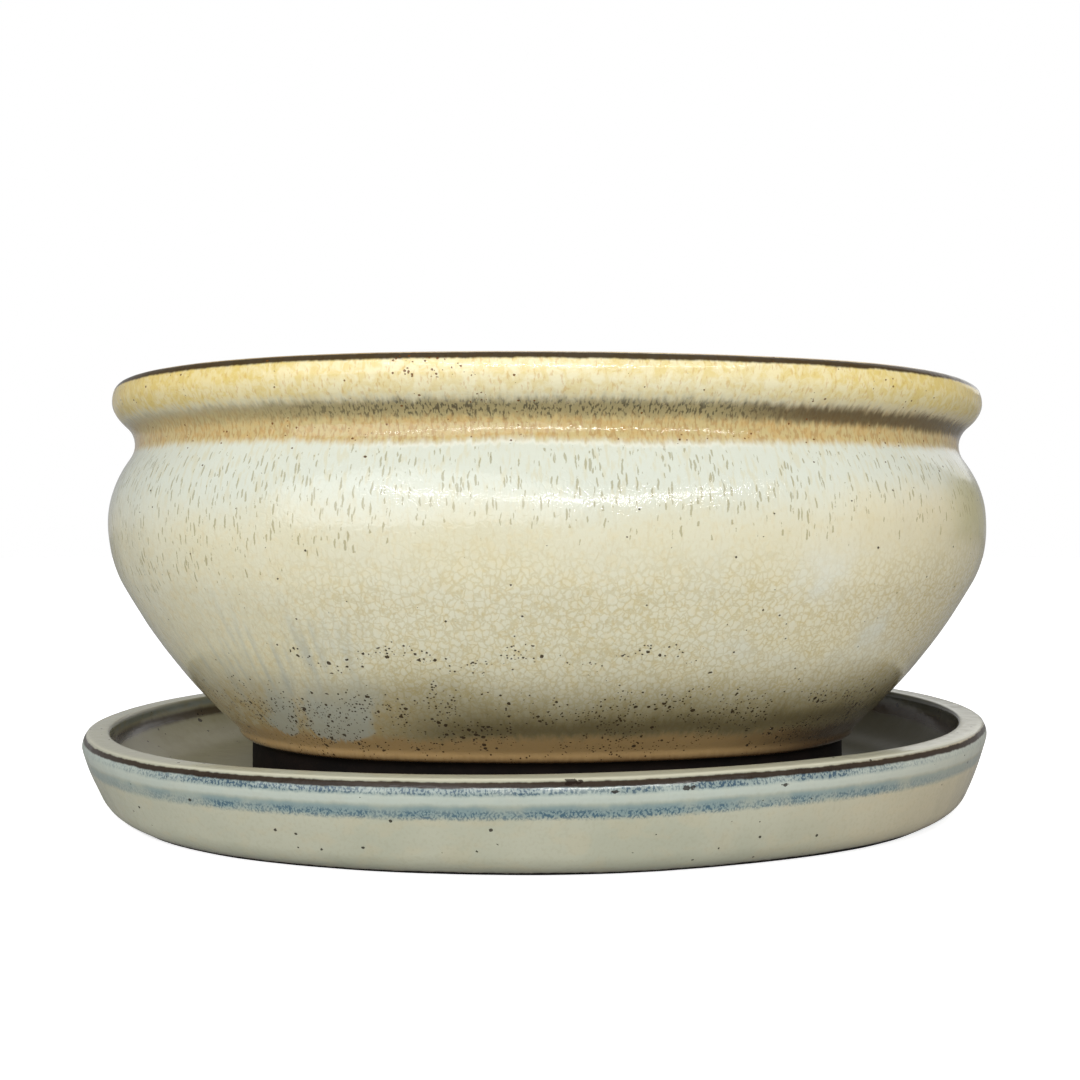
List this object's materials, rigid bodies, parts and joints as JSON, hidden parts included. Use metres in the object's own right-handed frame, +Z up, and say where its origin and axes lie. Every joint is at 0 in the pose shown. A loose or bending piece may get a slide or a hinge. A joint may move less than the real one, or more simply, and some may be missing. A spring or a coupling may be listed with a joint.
{
  "type": "bonsai pot",
  "caption": "Oval glazed bonsai pot with a rolled lip and a bellied wall, standing in its own shallow oval drip tray.",
  "frame": {"origin": "centre of the drip tray's flat base, on the table", "axes": "+X along the oval's length, +Y across it to the back, +Z up"},
  "size_m": [0.26, 0.2058, 0.118],
  "materials": {
    "tray_glaze": "glossy cream glaze with blue-grey bands, dark clay where bare",
    "pot_glaze": "glossy mottled cream glaze, ochre at the lip and foot, dark clay where bare",
    "mesh_plastic": "matte black",
    "clip_wire": "brown anodised",
    "tie_wire": "brown anodised"
  },
  "bodies": {
    "tray": {"drip_tray": "tray_glaze"},
    "pot": {"pot_body": "pot_glaze", "drain_screen_left": "mesh_plastic", "drain_screen_right": "mesh_plastic", "screen_clip_left": "clip_wire", "screen_clip_right": "clip_wire", "tie_wire_left": "tie_wire", "tie_wire_right": "tie_wire"}
  },
  "joints": [
    {"name": "pot_lift", "type": "slide", "parent": "tray", "child": "pot", "axis": [0, 0, 1], "range_m": [0, 0.12]}
  ]
}
